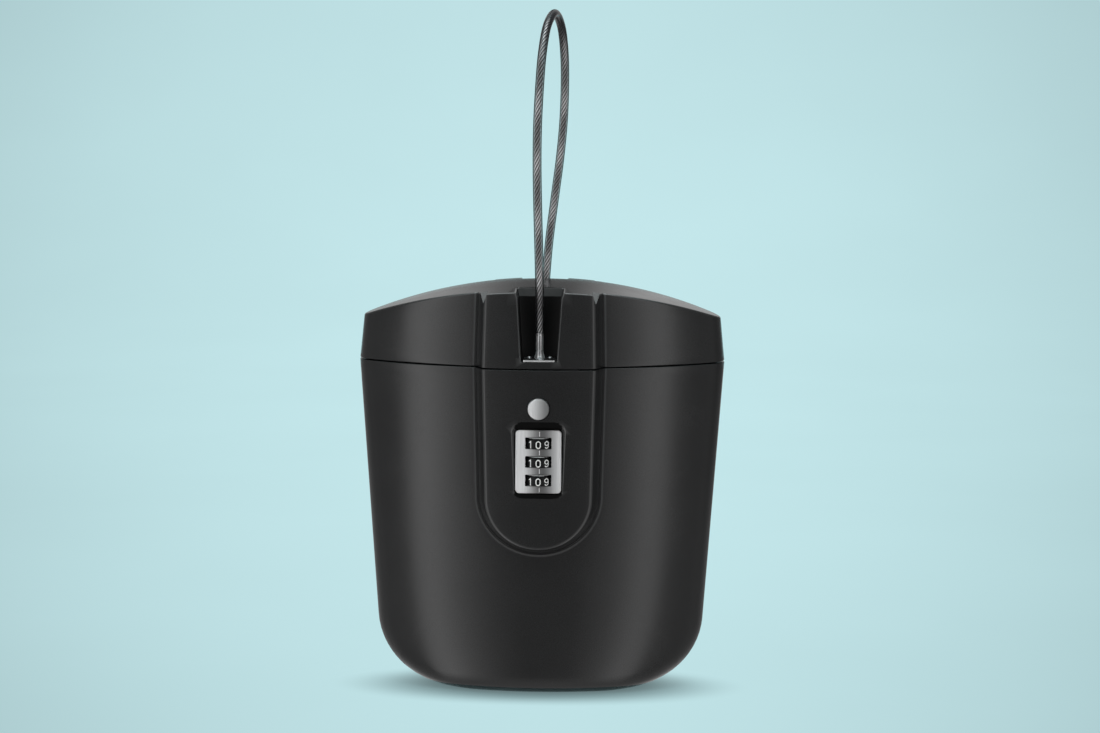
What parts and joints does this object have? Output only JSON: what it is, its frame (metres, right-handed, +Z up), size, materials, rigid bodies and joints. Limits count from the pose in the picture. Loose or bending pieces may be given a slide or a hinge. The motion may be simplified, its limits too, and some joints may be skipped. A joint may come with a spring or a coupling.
{
  "type": "travel safe",
  "caption": "Portable travel safe: oval hard case with a hinged domed lid, dial lock and push button on a raised front panel, and a steel cable loop that ties it to a fixed object.",
  "frame": {"origin": "middle of the flat base, on the surface the safe stands on", "axes": "+Z up through the lid; -Y out of the front, where the dials are; +X to the right as seen from the front"},
  "size_m": [0.174, 0.0971, 0.3216],
  "materials": {
    "case_plastic": "fine satin texture, charcoal",
    "liner_plastic": "matt, near black",
    "lock_plastic": "matt, near black",
    "dial_plastic": "semi-gloss black with white numbers",
    "satin_metal": "satin silver, brushed upright",
    "steel": "bright zinc plate",
    "spring_steel": "plain, drawn",
    "cable_steel": "twisted strands under a clear smoke-grey coat"
  },
  "bodies": {
    "base": {"body_shell": "case_plastic", "lock_faceplate": "satin_metal", "lock_housing": "lock_plastic", "lock_rear_cover": "lock_plastic", "lock_cover_screws": "steel", "dial_spindle": "steel", "dial_detent_spring": "spring_steel", "button_spring": "spring_steel", "latch_pivot_pin": "steel", "hinge_pin": "steel"},
    "upper_dial": {"upper_dial": "dial_plastic"},
    "middle_dial": {"middle_dial": "dial_plastic"},
    "lower_dial": {"lower_dial": "dial_plastic"},
    "button": {"release_button": "satin_metal"},
    "latch": {"latch_hook": "steel"},
    "lid": {"lid_shell": "case_plastic", "lid_liner": "liner_plastic", "lid_liner_screws": "steel", "latch_keeper": "steel", "keeper_screws": "steel", "front_anchor_plate": "satin_metal", "rear_anchor_plate": "satin_metal", "anchor_rivets": "steel", "cable_stud": "satin_metal", "rear_ferrule": "satin_metal", "rear_cable_nut": "steel", "security_cable": "cable_steel"},
    "retainer": {"cable_retainer": "steel"}
  },
  "joints": [
    {"name": "lid_hinge", "type": "hinge", "parent": "base", "child": "lid", "pos_m": [0, 0.048, 0.156], "axis": [-1, 0, 0], "range_deg": [0, 100]},
    {"name": "upper_dial_turn", "type": "hinge", "parent": "base", "child": "upper_dial", "pos_m": [0, -0.0368, 0.1217], "axis": [0, 0, 1], "continuous": true},
    {"name": "middle_dial_turn", "type": "hinge", "parent": "base", "child": "middle_dial", "pos_m": [0, -0.0368, 0.113], "axis": [0, 0, 1], "continuous": true},
    {"name": "lower_dial_turn", "type": "hinge", "parent": "base", "child": "lower_dial", "pos_m": [0, -0.0368, 0.1043], "axis": [0, 0, 1], "continuous": true},
    {"name": "button_press", "type": "slide", "parent": "base", "child": "button", "axis": [0, 1, 0], "range_m": [0, 0.0026], "stiffness_N_per_m": 400, "deforming": ["button_spring"]},
    {"name": "latch_swing", "type": "hinge", "parent": "base", "child": "latch", "pos_m": [0, -0.03047, 0.1435], "axis": [1, 0, 0], "range_deg": [0, 26]},
    {"name": "retainer_slide", "type": "slide", "parent": "lid", "child": "retainer", "axis": [1, 0, 0], "range_m": [0, 0.007]}
  ],
  "couplings": [
    {"joint": "latch_swing", "follows": "button_press", "rad_per_m": 174.5}
  ]
}
